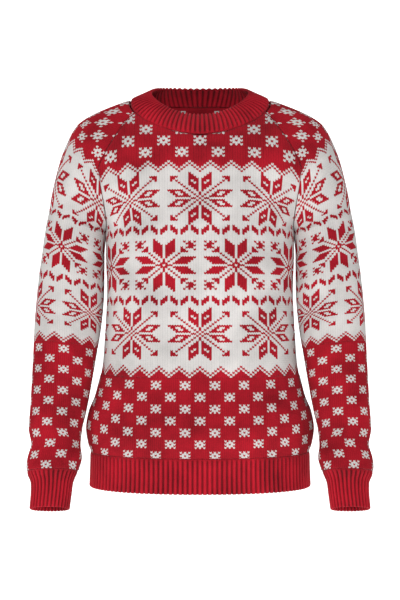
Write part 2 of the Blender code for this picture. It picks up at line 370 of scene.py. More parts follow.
def read(columns, key, name, where):
    """The smooth value of one column where the key column has this value."""
    keys, values = columns[key], columns[name]
    slope = slopes(keys, values)
    spot = int(np.clip(np.searchsorted(keys, where) - 1, 0, len(keys) - 2))
    width = keys[spot + 1] - keys[spot]
    s = (where - keys[spot]) / width
    start = (1 + 2 * s) * (1 - s) ** 2 * values[spot] + s * (1 - s) ** 2 * width * slope[spot]
    end = s * s * (3 - 2 * s) * values[spot + 1] - s * s * (1 - s) * width * slope[spot + 1]
    return float(start + end)


def vector(x, y, z):
    return np.array([x, y, z], float)


def bezier(start, first, second, end):
    """Points along a cubic curve."""
    s = np.linspace(0.0, 1.0, ROW_SAMPLES)[:, None]
    return (
        (1 - s) ** 3 * start
        + 3 * s * (1 - s) ** 2 * first
        + 3 * s**2 * (1 - s) * second
        + s**3 * end
    )


def panel_row(edge, lead, middle, turn, facing):
    """A panel's row from its seam to its middle, by the angles at which it leaves and arrives."""
    reach = np.linalg.norm(middle - edge)
    sideness = (lead / 90) ** 4
    leave = vector(math.cos(math.radians(lead)), facing * math.sin(math.radians(lead)), 0)
    arrive = vector(math.cos(math.radians(turn)), facing * math.sin(math.radians(turn)), 0)
    first = edge + (EDGE_HANDLE + EDGE_HANDLE_AT_SIDE * sideness) * reach * leave
    second = middle - (MIDDLE_HANDLE + MIDDLE_HANDLE_AT_SIDE * sideness) * reach * arrive
    return bezier(edge, first, second, middle)


def torso_row(height, facing):
    """Half a level row below the underarm, from the left side seam to the middle."""
    depth = read(DEPTH, "height", "front" if facing < 0 else "back", height)
    side = vector(-read(SIDE, "height", "half_width", height), 0, height)
    return panel_row(side, 90, vector(0, facing * depth, height), 0, facing)


def raglan_point(line, step):
    """A point of the front or back raglan seam, or of the shoulder line."""
    across = 0.0 if line == "top" else read(RAGLAN, "step", line + "_y", step)
    x = read(RAGLAN, "step", line + "_x", step)
    return vector(x, across, read(RAGLAN, "step", line + "_z", step))


def neck_point(share):
    """A point of the front neckline, from its middle (0) to the raglan seam (1)."""
    weights = [(1 - share) ** 3, 3 * share * (1 - share) ** 2, 3 * share**2 * (1 - share), share**3]
    return np.array(weights) @ NECK_FRONT


def solved(rising, target, low, high):
    """Where a rising function reaches the target."""
    for _ in range(40):
        middle = (low + high) / 2
        if rising(middle) < target:
            low = middle
        else:
            high = middle
    return (low + high) / 2


def step_at(height, line):
    """The raglan step at which a seam passes this height."""
    name = line + "_z"
    return solved(lambda step: read(RAGLAN, "step", name, step), height, 0, NECK_STEP)


# Where the neckline is nearly level, a straight edge from row to row would cut its curve, so the
# knit stays this far below it there, and comes back to it over the height given
NECK_CLEARANCE = 1.0
NECK_CLEARANCE_HEIGHT = 12.0


def front_row(height):
    """Half a level row of the front, and how far from the middle it starts."""
    above = max(height - NECK_DIP, 0.0)
    clear = NECK_CLEARANCE * max(1 - above / NECK_CLEARANCE_HEIGHT, 0.0)
    if height <= UNDERARM:
        return torso_row(height, -1), 0.0
    step = step_at(height, "front")
    edge = raglan_point("front", step)
    lead = read(RAGLAN, "step", "front_lead", step)
    if height <= NECK_DIP - clear:
        depth = read(DEPTH, "height", "front", height)
        return panel_row(edge, lead, vector(0, -depth, height), 0, -1), 0.0
    share = solved(lambda part: neck_point(part)[2], height + clear, 0, 1)
    start = neck_point(share)
    start[2] = height
    return panel_row(edge, lead, start, lead * share, -1), -start[0]


def back_row(height):
    """Half a level row of the back, and how far from the middle it starts."""
    if height <= UNDERARM:
        return torso_row(height, 1), 0.0
    step = step_at(height, "back")
    edge = raglan_point("back", step)
    depth = read(DEPTH, "height", "back", height)
    lead = read(RAGLAN, "step", "back_lead", step)
    return panel_row(edge, lead, vector(0, depth, height), 0, 1), 0.0


def arch(step):
    """A row over the shoulder: its front and back halves, each from the seam to the top."""
    front, top, back = (raglan_point(line, step) for line in ("front", "top", "back"))
    fullness = read(RAGLAN, "step", "fullness", step)
    middle = (front + back) / 2
    rise = np.linalg.norm(top - middle)
    half_span = np.linalg.norm(back - front) / 2
    upwards = (top - middle) / rise
    turn = 2 * math.atan2(rise, half_span)
    radius = (half_span**2 + rise**2) / (2 * rise)
    handle = fullness * SEMICIRCLE_HANDLE * math.tan(turn / 4) * radius
    halves = []
    for seam, facing in ((front, -1), (back, 1)):
        leave = vector(0, -facing * math.cos(turn), 0) + math.sin(turn) * upwards
        outwards = vector(0, facing, 0)
        halves.append(bezier(seam, seam + handle * leave, top + handle * outwards, top))
    return halves


def arm_ring(ring):
    """A ring of the arm: its front and back halves, each from the inner to the outer point."""
    names = ("outer_x", "outer_z", "inner_x", "inner_z", "forward", "half_depth", "pitch")
    outer_x, outer_z, inner_x, inner_z, forward, half_depth, pitch = (
        read(ARM, "ring", name, ring) for name in names
    )
    outer = vector(outer_x, forward, outer_z)
    inner = vector(inner_x, forward, inner_z)
    ahead = vector(0, -math.cos(math.radians(pitch)), math.sin(math.radians(pitch)))
    handle = SEMICIRCLE_HANDLE * half_depth * ahead
    return [bezier(inner, inner + way * handle, outer + way * handle, outer) for way in (1, -1)]


def sleeve_halves(place):
    """The halves of a sleeve row: a ring of the arm, or an arch over the shoulder above ring 0."""
    return arm_ring(place) if place >= 0 else arch(-place)


# ---------------------------------------------------------------- meshes


def run_along(points):
    """How far along a polyline each of its points is."""
    steps = np.linalg.norm(np.diff(points, axis=0), axis=1)
    return np.concatenate([[0.0], np.cumsum(steps)])


def points_at(points, run, where):
    return np.stack([np.interp(where, run, points[:, axis]) for axis in range(3)], axis=1)


class Cloth:
    """Rows of evenly spaced points on a smooth surface, with their normals.

    Each row has two arms, left and right of its middle, spaced from the middle to their seams.
    """

    SPACES = 48

    def __init__(self, rows, starts, turned=False):
        """rows holds for each row its two arms as polylines from the middle, and starts how far
        from the middle a row's cloth starts. Turned cloth faces +Y, seen from the front."""
        shares = np.linspace(0.0, 1.0, self.SPACES + 1)
        runs = [[run_along(arm) for arm in arms] for arms in rows]
        self.lengths = np.array([[run[-1] for run in pair] for pair in runs])
        self.arms = np.array(
            [
                [points_at(arm, run, shares * run[-1]) for arm, run in zip(arms, pair)]
                for arms, pair in zip(rows, runs)
            ]
        )
        self.starts = np.array(starts, float)
        normal = np.cross(np.gradient(self.arms, axis=2), np.gradient(self.arms, axis=0))
        normal[:, 0] *= -1
        normal /= np.maximum(np.linalg.norm(normal, axis=3, keepdims=True), 1e-9)
        joined = self.starts == 0
        normal[joined, :, 0] = normal[joined, :, 0].mean(axis=1, keepdims=True)
        self.normals = -normal if turned else normal

    def at(self, row, distance):
        """Points and normals of one row at signed distances from the middle, clamped to its seams
        and its start, and how far each is from its seam."""
        arm = (distance > 0).astype(int)
        reach = np.maximum(self.lengths[row, arm] - HALF_SEAM_GAP, 0.01)
        past = np.abs(distance) - self.starts[row]
        spot = np.clip(past, 0.0, reach) / self.lengths[row, arm].clip(0.02) * self.SPACES
        low = np.clip(spot.astype(int), 0, self.SPACES - 1)
        part = (spot - low)[:, None]
        arms, normals = self.arms[row, arm], self.normals[row, arm]
        each = np.arange(len(distance))
        place = (1 - part) * arms[each, low] + part * arms[each, low + 1]
        normal = (1 - part) * normals[each, low] + part * normals[each, low + 1]
        normal /= np.maximum(np.linalg.norm(normal, axis=1)[:, None], 1e-9)
        return place, normal, reach - past


def mesh_object(name, points, triangles, attributes, materials, slots):
    """A mesh object in the scene, from points in millimetres and triangles with attributes of
    (domain, values), one material index a triangle."""
    mesh = bpy.data.meshes.new(name)
    mesh.vertices.add(len(points))
    mesh.vertices.foreach_set("co", (points * MM).astype(np.float32).ravel())
    mesh.loops.add(3 * len(triangles))
    mesh.loops.foreach_set("vertex_index", triangles.astype(np.int32).ravel())
    mesh.polygons.add(len(triangles))
    mesh.polygons.foreach_set("loop_start", np.arange(0, 3 * len(triangles), 3, dtype=np.int32))
    mesh.update(calc_edges=True)
    for key, (domain, values) in attributes.items():
        layer = mesh.attributes.new(key, "FLOAT", domain)
        layer.data.foreach_set("value", values.astype(np.float32))
    mesh.polygons.foreach_set("material_index", slots.astype(np.int32))
    for material in materials:
        mesh.materials.append(material)
    mesh.shade_smooth()
    piece = bpy.data.objects.new(name, mesh)
    bpy.context.scene.collection.objects.link(piece)
    return piece


def add_triangles(found, index, flip, cut=None):
    """Triangles between the rows of a grid of point numbers. cut says which rows an opening parts in
    the middle; the triangles across it get three equal corners, and real() finds those."""
    low, high = index[:-1], index[1:]
    a, b, c, d = low[:, :-1], low[:, 1:], high[:, 1:], high[:, :-1]
    triangles = np.stack([np.stack([a, b, c], -1), np.stack([a, c, d], -1)], axis=2)
    if cut is not None:
        middle = index.shape[1] // 2
        triangles[cut[:-1], middle] = 0
        triangles[~cut[:-1] & cut[1:], middle, 1] = 0
    if flip:
        triangles = triangles[..., ::-1]
    found.append(triangles.reshape(-1, 3))


def real(triangles):
    """Which triangles have three different corners."""
    a, b, c = triangles.T
    return (a != b) & (b != c) & (c != a)


def without_repeats(line):
    return [v for k, v in enumerate(line) if k == 0 or v != line[k - 1]]


def zipped(outer, inner, points, flip):
    """Triangles between two lines of point numbers that run side by side."""
    if len(outer) < 2 or len(inner) < 2:
        return []
    shares = []
    for line in (outer, inner):
        run = run_along(points[line])
        shares.append(run / max(run[-1], 1e-9))
    i = j = 0
    found = []
    while i < len(outer) - 1 or j < len(inner) - 1:
        last = j == len(inner) - 1
        if last or (i < len(outer) - 1 and shares[0][i + 1] <= shares[1][j + 1]):
            found.append((outer[i + 1], outer[i], inner[j]))
            i += 1
        else:
            found.append((outer[i], inner[j], inner[j + 1]))
            j += 1
    return [t[::-1] for t in found] if flip else found


class Layer:
    """One face of a piece: a grid of points on its cloth, clamped to the seams and the neckline."""

    def __init__(self, cloth, rows, columns, pitch, offset):
        """columns are counted in quarter stitches from the middle, and offset gives how far the
        points stand out, from the columns and the distances to the seam and to the neckline."""
        count = len(columns)
        self.rows, self.columns = rows, columns
        self.points = np.empty((len(rows), count, 3))
        self.normals = np.empty((len(rows), count, 3))
        self.seam = np.empty((len(rows), count))
        self.index = np.tile(np.arange(count), (len(rows), 1))
        middle = count // 2
        for k, row in enumerate(rows):
            distance = columns * pitch[row] / 4
            place, normal, seam = cloth.at(row, distance)
            self.points[k], self.normals[k], self.seam[k] = place, normal, seam
            past = np.flatnonzero(seam <= 0)
            right = past[past > middle]
            left = past[past < middle]
            if len(right):
                self.index[k, right] = right[0]
            if len(left):
                self.index[k, left] = left[-1]
            start = cloth.starts[row]
            if start > 0:
                short = np.abs(distance) <= start
                self.index[k, short & (distance > 0)] = np.flatnonzero(short)[-1]
                self.index[k, short & (distance <= 0)] = np.flatnonzero(short)[0]
        self.free = (self.seam > 0) & (self.index == np.arange(count))
        self.starts = cloth.starts[rows]
        self.points += offset(self)[..., None] * self.normals

    def sheared(self, lift):
        """Moves each point up or down its column by a share of a row, to draw the legs of a V."""
        step = np.diff(self.points, axis=0)
        moved = self.points.copy()
        for k in range(1, len(self.rows) - 1):
            way = np.where((lift > 0)[:, None], step[k], step[k - 1])
            share = np.where(self.free[k] & self.free[k + 1] & self.free[k - 1], lift, 0.0)
            moved[k] += share[:, None] * way
        self.points = moved

    def numbered(self, base):
        """The grid of point numbers, counted from base."""
        count = len(self.columns)
        return base + np.arange(len(self.rows))[:, None] * count + self.index

    def rim(self, numbers):
        """The four sides of the grid as lines of point numbers, anticlockwise from bottom left."""
        middle = len(self.columns) // 2
        bottom = list(numbers[0])
        right = [row[-1] for row in numbers]
        left = [row[0] for row in numbers][::-1]
        cut = [k for k, start in enumerate(self.starts) if start > 0]
        if cut:
            top = [numbers[k][middle + 1] for k in cut[::-1]]
            top = list(numbers[-1][: middle : -1]) + top
            full = numbers[cut[0] - 1]
            top += [full[middle]] + [numbers[k][middle] for k in cut]
            top += list(numbers[-1][middle::-1])
        else:
            top = list(numbers[-1][::-1])
        return [without_repeats(line) for line in (bottom, right, top, left)]


# Across a stitch, from its middle: how far each quarter stands out, and how many rows it is lifted
STATIONS = table("stand lift", ((-0.3, -0.24), (1, 0), (-1, 0.24), (1, 0)))
# The groove along a seam: how far it reaches from the seam, and how deep it is. The stitches' relief
# grows from nothing at the seam over about RELIEF_FADE
SEAM_REACH = 1.5
SEAM_DEPTH = 1.0
RELIEF_FADE = 2.5


def knitted(name, cloth, zones, settings, flip, mirror, materials):
    """A patterned piece: zones of stitches outside, a plainer wrong side, and a rim joining them.

    Each zone is its lowest and highest row edge on the cloth, the number of its lowest row, the
    stitch width at each row edge and its chart."""
    relief = settings.stitch_relief / MM
    found, points, yarn, side, hollow_shade, across, down = [], [], [], [], [], [], []
    total = 0

    def add(layer, first_row, columns, chart, face, turned, hollow_shades):
        nonlocal total
        numbers = layer.numbered(total)
        total += layer.points.shape[0] * layer.points.shape[1]
        points.append(layer.points.reshape(-1, 3))
        add_triangles(found, numbers, turned, layer.starts > 0)
        stitch_row = first_row + layer.rows[:-1] - layer.rows[0]
        marks = chart(*np.meshgrid(columns, stitch_row, indexing="xy"))
        yarn.append(np.repeat(marks.ravel(), 2))
        side.append(np.full(2 * marks.size, face))
        hollow_shade.append(np.tile(hollow_shades, len(layer.rows)))
        across.append(np.tile(layer.columns / 4, len(layer.rows)))
        down.append(np.repeat(layer.rows - layer.rows[0] + first_row, len(layer.columns)))
        return numbers

    def join(one, other):
        strip = np.array(zipped(one, other, np.concatenate(points), flip)).reshape(-1, 3)
        found.append(strip)
        yarn.append(np.zeros(len(strip)))
        side.append(np.ones(len(strip)))

    outer_sides, inner_sides = [], []
    for low, high, first_row, pitch, chart in zones:
        rows = np.arange(low, high + 1)
        widest = (cloth.lengths[rows].max(axis=1) + cloth.starts[rows]) / pitch[rows] * 4
        reach = int(math.ceil(widest.max() / 8)) * 8
        columns = np.arange(-reach, reach + 1)
        stand = STATIONS["stand"][columns % 4]

        def outside(layer):
            near = np.maximum(layer.seam, 0.0)
            fade = 1.0 - np.exp(-((near / RELIEF_FADE) ** 2))
            groove = SEAM_DEPTH * np.exp(-((near / SEAM_REACH) ** 2))
            level = np.ones(len(layer.rows))
            level[[0, -1]] = 0.0
            return relief * stand * fade * level[:, None] - groove

        outer = Layer(cloth, rows, columns, pitch, outside)
        outer.sheared(STATIONS["lift"][columns % 4])
        stitches = np.floor((columns[:-1] + 0.5) / 4 + 0.5).astype(int)
        # The outside is darkened by painted shade in the hollows of its stitches, by how far each
        # quarter sinks
        numbers = add(outer, first_row, stitches, chart, 0, flip, (1 - stand) / 2)
        outer_sides.append(outer.rim(numbers))
        cut = rows[cloth.starts[rows] > 0]
        kept = sorted(set(range(low, high, 2)) | {high} | {int(c) - 1 for c in cut[:1]})
        coarse = np.arange(-reach, reach + 1, 8)
        wall = -settings.knit_wall / MM
        inner = Layer(
            cloth, np.array(kept), coarse, pitch, lambda layer: np.full(layer.seam.shape, wall)
        )
        stitches = (coarse[:-1] + 4) // 4
        # The wrong side gets an even share of painted shade
        numbers = add(inner, first_row, stitches, chart, 1, not flip, np.full(len(coarse), 0.5))
        inner_sides.append(inner.rim(numbers))
    for low, high in zip(outer_sides[:-1], outer_sides[1:]):
        join(high[0], low[2][::-1])
    for low, high in zip(inner_sides[:-1], inner_sides[1:]):
        join(low[2][::-1], high[0])
    join(outer_sides[0][0], inner_sides[0][0])
    join(outer_sides[-1][2], inner_sides[-1][2])
    for one, other in zip(outer_sides, inner_sides):
        join(one[1], other[1])
        join(one[3], other[3])
    points = np.concatenate(points)
    places, same = np.unique(np.round(points, 4), axis=0, return_inverse=True)
    triangles = same.reshape(-1)[np.concatenate(found)]
    yarn, side = np.concatenate(yarn), np.concatenate(side)
    solid = real(triangles)
    triangles, yarn, side = triangles[solid], yarn[solid], side[solid]
    first = np.full(len(places), len(points))
    np.minimum.at(first, same.reshape(-1), np.arange(len(points)))
    used, triangles = np.unique(triangles, return_inverse=True)
    triangles = triangles.reshape(-1, 3)
    points = points[first[used]]
    if mirror:
        points = points * vector(-1, 1, 1)
        triangles = triangles[:, ::-1]
    attributes = {
        "yarn": ("FACE", yarn),
        "stitch_row": ("POINT", np.concatenate(down)[first[used]]),
        "stitch_column": ("POINT", np.concatenate(across)[first[used]]),
        "hollow_shade": ("POINT", np.concatenate(hollow_shade)[first[used]]),
    }
    return mesh_object(name, points, triangles, attributes, materials, side)


# ---------------------------------------------------------------- rib bands

# Across one rib, from the furrow beside it: how far each eighth stands out, and its lift in rows
RIB_STATIONS = table(
    "stand lift",
    (
        (-1.2, 0),
        (-0.6, 0),
        (0.5, 0.15),
        (0.92, 0),
        (1, -0.3),
        (0.92, 0),
        (0.5, 0.15),
        (-0.6, 0),
    ),
)
RIB_ROW = 3.0
CUFF_ROW_RINGS = 0.22
BAND_ROW_SHARE = 0.07
EDGE_TURNS = 5
RIB_SEAM_FADE = 3.0
SEAM_HOLLOW_SHADE = 0.3  # how much painted shade the flat end of a rib at its seam gets, from 0 on a ridge to 1


def rib_band(name, outer_rows, normals, wall, relief, seam_depth, tube, flip, mirror, material):
    """A rib band from rows of points that run from its seam to its free edge, one point for each
    eighth of a rib. It turns round the edge and goes back inside; a tube joins its own ends."""
    count = outer_rows.shape[1]
    phase = np.arange(count) % 8
    stand, lift = RIB_STATIONS["stand"][phase], RIB_STATIONS["lift"][phase]
    inside_stand = RIB_STATIONS["stand"][(phase + 4) % 8]
    from_seam = np.linalg.norm(outer_rows - outer_rows[0], axis=2).mean(axis=1)
    fade = (1.0 - np.exp(-((from_seam / RIB_SEAM_FADE) ** 2)))[:, None]
    hem = seam_depth * np.exp(-((from_seam / SEAM_REACH) ** 2))[:, None]
    outer = outer_rows + (relief * stand * fade - hem)[..., None] * normals
    step = np.diff(outer, axis=0)
    for k in range(1, len(outer) - 1):
        outer[k] -= lift[:, None] * np.where((lift > 0)[:, None], step[k - 1], step[k])
    inner = outer_rows - (wall + 0.5 * relief * inside_stand * fade)[..., None] * normals
    onwards = outer_rows[-1] - outer_rows[-2]
    onwards /= np.linalg.norm(onwards, axis=1)[:, None]
    turn = []
    centre = (outer[-1] + inner[-1]) / 2
    radius = (outer[-1] - inner[-1]) / 2
    size = np.linalg.norm(radius, axis=1)[:, None]
    for angle in np.linspace(0, math.pi, EDGE_TURNS + 2)[1:-1]:
        turn.append(centre + math.cos(angle) * radius + math.sin(angle) * size * onwards)
    rows = np.concatenate([outer, np.array(turn), inner[::-1]])
    points = rows.reshape(-1, 3)
    numbers = np.arange(len(points)).reshape(len(rows), count)
    if tube:
        numbers = np.concatenate([numbers, numbers[:, :1]], axis=1)
    numbers = np.concatenate([numbers, numbers[:1]])
    found = []
    add_triangles(found, numbers, flip)
    if not tube:
        half = (len(rows) + 1) // 2
        for column, turned in ((0, flip), (count - 1, not flip)):
            strip = [(numbers[k, column], numbers[len(rows) - 1 - k, column]) for k in range(half)]
            add_triangles(found, np.array(strip), turned)
    triangles = np.concatenate(found)
    triangles = triangles[real(triangles)]
    if mirror:
        points = points * vector(-1, 1, 1)
        triangles = triangles[:, ::-1]
    across = np.tile(np.arange(count) / 8, len(rows))
    down = np.repeat(np.arange(len(rows)), count)
    # Painted shade in the furrows of the ribs, fading to an even share at the seam
    hollow_shade = np.concatenate(
        [
            (1 - stand)[None] / 2 * fade + SEAM_HOLLOW_SHADE * (1 - fade),
            np.tile((1 - stand) / 2, (len(rows) - len(outer) - len(inner), 1)),
            np.tile((1 - inside_stand) / 2, (len(inner), 1)),
        ]
    )
    attributes = {
        "yarn": ("FACE", np.zeros(len(triangles))),
        "stitch_row": ("POINT", down),
        "stitch_column": ("POINT", across),
        "hollow_shade": ("POINT", hollow_shade.ravel()),
    }
    return mesh_object(name, points, triangles, attributes, [material], np.zeros(len(triangles)))


def grid_normals(grid, closed):
    """Normals of a grid of points, across its columns and down its rows."""
    if closed:
        wide = np.concatenate([grid[:, -1:], grid, grid[:, :1]], axis=1)
        along = np.gradient(wide, axis=1)[:, 1:-1]
    else:
        along = np.gradient(grid, axis=1)
    normal = np.cross(along, np.gradient(grid, axis=0))
    return normal / np.maximum(np.linalg.norm(normal, axis=2, keepdims=True), 1e-9)


def spaced(points, count):
    """Points evenly spaced along a polyline."""
    run = run_along(points)
    return points_at(points, run, np.linspace(0, run[-1], count))


def levels(top, bottom, spacing):
    """Evenly spaced levels from one to the other, near that spacing."""
    return np.linspace(top, bottom, max(2, int(round(abs(top - bottom) / spacing)) + 1))


def hem_rows(facing, ribs):
    """Rows of half the hem rib, from its seam down, with so many ribs across it."""
    rows = []
    for height in levels(HEM_SEAM - HALF_SEAM_GAP, HEM_EDGE, RIB_ROW):
        half = torso_row(height, facing)
        whole = np.concatenate([half, half[::-1][1:] * vector(-1, 1, 1)])
        run = run_along(whole)
        ends = np.linspace(HALF_SEAM_GAP, run[-1] - HALF_SEAM_GAP, 8 * ribs + 1)
        rows.append(points_at(whole, run, ends))
    return np.array(rows)


def cuff_rows(ribs):
    """Rows of the left cuff, from its seam down to its mouth."""
    rows = []
    for ring in levels(CUFF_SEAM_RING + 0.02, CUFF_MOUTH_RING, CUFF_ROW_RINGS):
        front, back = arm_ring(ring)
        loop = np.concatenate([back, front[::-1][1:]])
        rows.append(spaced(loop, 8 * ribs + 1)[:-1])
    return np.array(rows)


def neckline():
    """The whole neckline, from the middle of the front round by the left."""
    front = np.array([neck_point(share) for share in np.linspace(0, 1, ROW_SAMPLES)])
    forwards, backwards = arch(NECK_STEP)
    back = back_row(0.0)[0]
    half = np.concatenate([front, forwards[1:], backwards[::-1][1:], back[1:]])
    return np.concatenate([half, half[::-1][1:] * vector(-1, 1, 1)])


def band_rows(ribs):
    """Rows of the neckband, from the neckline up to its upper edge."""
    low = spaced(neckline(), 8 * ribs + 1)[:-1]
    outwards = low[:, :2] - np.array([0.0, NECK_CENTRE])
    outwards /= np.linalg.norm(outwards, axis=1)[:, None]
    angles = np.arctan2(np.abs(outwards[:, 0]), -outwards[:, 1])
    reach = np.where(np.cos(angles) > 0, BAND_TOP["front"], BAND_TOP["back"])
    fall = BAND_TOP["back_z"] - BAND_TOP["front_z"]
    top = np.column_stack(
        [
            np.sign(outwards[:, 0]) * BAND_TOP["half_width"] * np.sin(angles),
            -reach * np.cos(angles),
            BAND_TOP["back_z"] - fall * ((1 + np.cos(angles)) / 2) ** BAND_DIP,
        ]
    )
    width = np.linalg.norm(top - low, axis=1)
    lean = np.column_stack([outwards, np.ones(len(low))]) / math.sqrt(2)
    rows = []
    for share in levels(0.006, 1.0, BAND_ROW_SHARE):
        bow = BAND_STAND * share * (1 - share) * width
        rows.append(low + share * (top - low) + bow[:, None] * lean)
    return np.array(rows)


# ---------------------------------------------------------------- materials


def node(tree, kind, at, **settings):
    """A new node at a place in the tree, with these settings and input values."""
    made = tree.nodes.new("ShaderNode" + kind)
    made.location = at
    for key, value in settings.items():
        if key == "inputs":
            for name, number in value.items():
                made.inputs[name].default_value = number
        else:
            setattr(made, key, value)
    return made


def calculated(tree, at, operation, first, second=None, clamp=False):
    """The result of a Math node on two values, each a number or another node's output."""
    made = node(tree, "Math", at, operation=operation, use_clamp=clamp)
    for slot, value in enumerate((first, second)):
        if value is None:
            continue
        if isinstance(value, (int, float)):
            made.inputs[slot].default_value = value
        else:
            tree.links.new(value, made.inputs[slot])
    return made.outputs[0]


def mixed(tree, at, share, first, second):
    """A colour between two, each an RGBA tuple or another node's output."""
    made = node(tree, "Mix", at, data_type="RGBA")
    for slot, value in ((0, share), (6, first), (7, second)):
        if isinstance(value, (int, float, tuple)):
            made.inputs[slot].default_value = value
        else:
            tree.links.new(value, made.inputs[slot])
    return made.outputs[2]


def leg_group():
    """The height of a stitch's legs, from where a point is in its stitch."""
    group = bpy.data.node_groups.new("stitch_legs", "ShaderNodeTree")
    face = group.interface
    face.new_socket("Column", in_out="INPUT", socket_type="NodeSocketFloat")
    face.new_socket("Row", in_out="INPUT", socket_type="NodeSocketFloat")
    face.new_socket("Height", in_out="OUTPUT", socket_type="NodeSocketFloat")
    start = group.nodes.new("NodeGroupInput")
    start.location = (-900, 0)
    end = group.nodes.new("NodeGroupOutput")
    end.location = (500, 0)
    # A leg is highest at its own middle and lowest where the next stitch starts
    turn = calculated(group, (-700, 100), "MULTIPLY", start.outputs["Column"], 4 * math.pi)
    across = calculated(group, (-520, 100), "COSINE", turn)
    rise = calculated(group, (-700, -100), "MULTIPLY", start.outputs["Row"], math.pi)
    bulge = calculated(group, (-520, -100), "ABSOLUTE", calculated(group, (-620, -180), "SINE", rise))
    bulge = calculated(group, (-340, -100), "POWER", bulge, 0.5)
    leg = calculated(group, (-340, 100), "MULTIPLY_ADD", across, -0.5)
    leg.node.inputs[2].default_value = 0.5
    height = calculated(group, (-140, 0), "MULTIPLY", leg, bulge)
    group.links.new(height, end.inputs["Height"])
    return group


def fuzz_group():
    """Uneven dye and loose fibres: a shade that drifts over the cloth, and a fine height."""
    group = bpy.data.node_groups.new("wool_fuzz", "ShaderNodeTree")
    face = group.interface
    face.new_socket("Size", in_out="INPUT", socket_type="NodeSocketFloat")
    face.new_socket("Shade", in_out="OUTPUT", socket_type="NodeSocketFloat")
    face.new_socket("Height", in_out="OUTPUT", socket_type="NodeSocketFloat")
    start = group.nodes.new("NodeGroupInput")
    start.location = (-900, 0)
    end = group.nodes.new("NodeGroupOutput")
    end.location = (500, 0)
    place = node(group, "TexCoord", (-900, 250))
    fibre = node(group, "TexNoise", (-450, 150), inputs={"Detail": 4.0, "Roughness": 0.65})
    group.links.new(place.outputs["Object"], fibre.inputs["Vector"])
    group.links.new(start.outputs["Size"], fibre.inputs["Scale"])
    broad = node(group, "TexNoise", (-450, -150), inputs={"Scale": 22.0, "Detail": 3.0})
    group.links.new(place.outputs["Object"], broad.inputs["Vector"])
    both = calculated(group, (-150, 0), "ADD", fibre.outputs["Fac"], broad.outputs["Fac"])
    group.links.new(both, end.inputs["Shade"])
    group.links.new(fibre.outputs["Fac"], end.inputs["Height"])
    return group


# Painted shade: the share of a yarn's colour kept in the hollow between two stitches and in a rib's
# furrow
RED_IN_PAINTED_SHADE = 0.16
WHITE_IN_PAINTED_SHADE = 0.50
DYE_MIDDLE = 0.7  # the fuzz's shade above which a fibre darkens the yarn
# Shares of painted shade in the hollows, on the ribs and on the wrong side
RIB_SHADE = 0.55
WRONG_SIDE_SHADE = 0.5
WRONG_SIDE_BUMP = 0.8


def yarn_material(name, colours, groups, shade_share=0.42, bump=0.6):
    """Knitted wool: a red yarn and a second one, mixed by the chart's mark on each stitch, and
    darkened by painted shade in the hollows.
    """
    material = bpy.data.materials.new(name)
    material.use_nodes = True
    tree = material.node_tree
    shader = tree.nodes["Principled BSDF"]
    shader.inputs["Roughness"].default_value = 0.92
    shader.inputs["Specular IOR Level"].default_value = 0.18
    shader.inputs["Sheen Weight"].default_value = 0.06
    shader.inputs["Sheen Roughness"].default_value = 0.45
    legs = tree.nodes.new("ShaderNodeGroup")
    legs.node_tree = groups["legs"]
    legs.location = (-900, -100)
    fuzz = tree.nodes.new("ShaderNodeGroup")
    fuzz.node_tree = groups["fuzz"]
    fuzz.location = (-900, -350)
    fuzz.inputs["Size"].default_value = 900.0
    read_values = {}
    for n, attribute in enumerate(("stitch_column", "stitch_row", "yarn", "hollow_shade")):
        found = node(tree, "Attribute", (-1200, 200 - 200 * n), attribute_name=attribute)
        read_values[attribute] = found.outputs["Fac"]
    tree.links.new(read_values["stitch_column"], legs.inputs["Column"])
    tree.links.new(read_values["stitch_row"], legs.inputs["Row"])
    mark = read_values["yarn"]
    red = (*colours.red, 1.0)
    white = (*colours.white, 1.0)
    shaded_red = tuple(RED_IN_PAINTED_SHADE * value for value in colours.red) + (1.0,)
    shaded_white = tuple(WHITE_IN_PAINTED_SHADE * value for value in colours.white) + (1.0,)
    # Painted shade: hollows between stitches and rib furrows are mixed towards the shaded colours,
    # together with the drifting dye
    low = calculated(tree, (-650, -100), "MULTIPLY", read_values["hollow_shade"], shade_share)
    drift = calculated(tree, (-650, -350), "SUBTRACT", fuzz.outputs["Shade"], DYE_MIDDLE)
    depth = calculated(tree, (-450, -200), "ADD", low, drift, clamp=True)
    lit = mixed(tree, (-250, 200), mark, red, white)
    unlit = mixed(tree, (-250, -50), mark, shaded_red, shaded_white)
    colour = mixed(tree, (-50, 100), depth, lit, unlit)
    tree.links.new(colour, shader.inputs["Base Color"])
    height = calculated(tree, (-450, -500), "MULTIPLY_ADD", fuzz.outputs["Height"], 0.35)
    tree.links.new(legs.outputs["Height"], height.node.inputs[2])
    relief = node(tree, "Bump", (-200, -400), inputs={"Strength": bump, "Distance": 0.0006})
    tree.links.new(height, relief.inputs["Height"])
    tree.links.new(relief.outputs["Normal"], shader.inputs["Normal"])
    return material


def paper_material(name, colour, roughness, glow):
    material = bpy.data.materials.new(name)
    material.use_nodes = True
    shader = material.node_tree.nodes["Principled BSDF"]
    shader.inputs["Emission Color"].default_value = (1.0, 1.0, 1.0, 1.0)
    shader.inputs["Emission Strength"].default_value = glow
    shader.inputs["Base Color"].default_value = (*colour, 1.0)
    shader.inputs["Roughness"].default_value = roughness
    return material


_made = {}


def yarns(colours):
    """The three knitted finishes, made once."""
    if not _made:
        groups = {"legs": leg_group(), "fuzz": fuzz_group()}
        _made["pattern"] = yarn_material("jacquard_knit", colours, groups)
        _made["wrong_side"] = yarn_material(
            "jacquard_wrong_side", colours, groups, WRONG_SIDE_SHADE, WRONG_SIDE_BUMP
        )
        _made["rib"] = yarn_material("red_rib_knit", colours, groups, RIB_SHADE)
    return _made


# ---------------------------------------------------------------- settings


